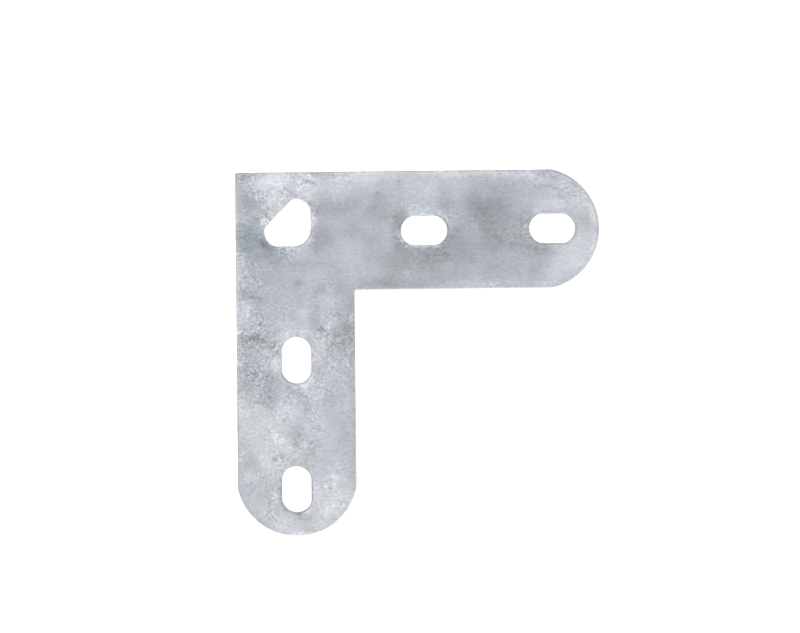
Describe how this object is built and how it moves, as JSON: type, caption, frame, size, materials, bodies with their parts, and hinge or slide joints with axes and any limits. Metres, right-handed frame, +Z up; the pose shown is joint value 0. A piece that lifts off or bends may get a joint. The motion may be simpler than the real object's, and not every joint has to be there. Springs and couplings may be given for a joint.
{
  "type": "corner plate",
  "caption": "Flat L-shaped galvanised steel corner plate with round arm ends, slots along both arms and a three-sided hole at the corner.",
  "frame": {"origin": "middle of the bounding box's underside, on the surface that the plate lies on", "axes": "+Z up through the sheet's thickness, +X along the arm that points right, -Y along the arm that points down, the outer corner at -X +Y"},
  "size_m": [0.1226, 0.1226, 0.004],
  "materials": {
    "zinc": "matt hot-dip galvanised zinc, mottled light and dark grey"
  },
  "bodies": {
    "root": {"corner_plate": "zinc"}
  },
  "joints": []
}
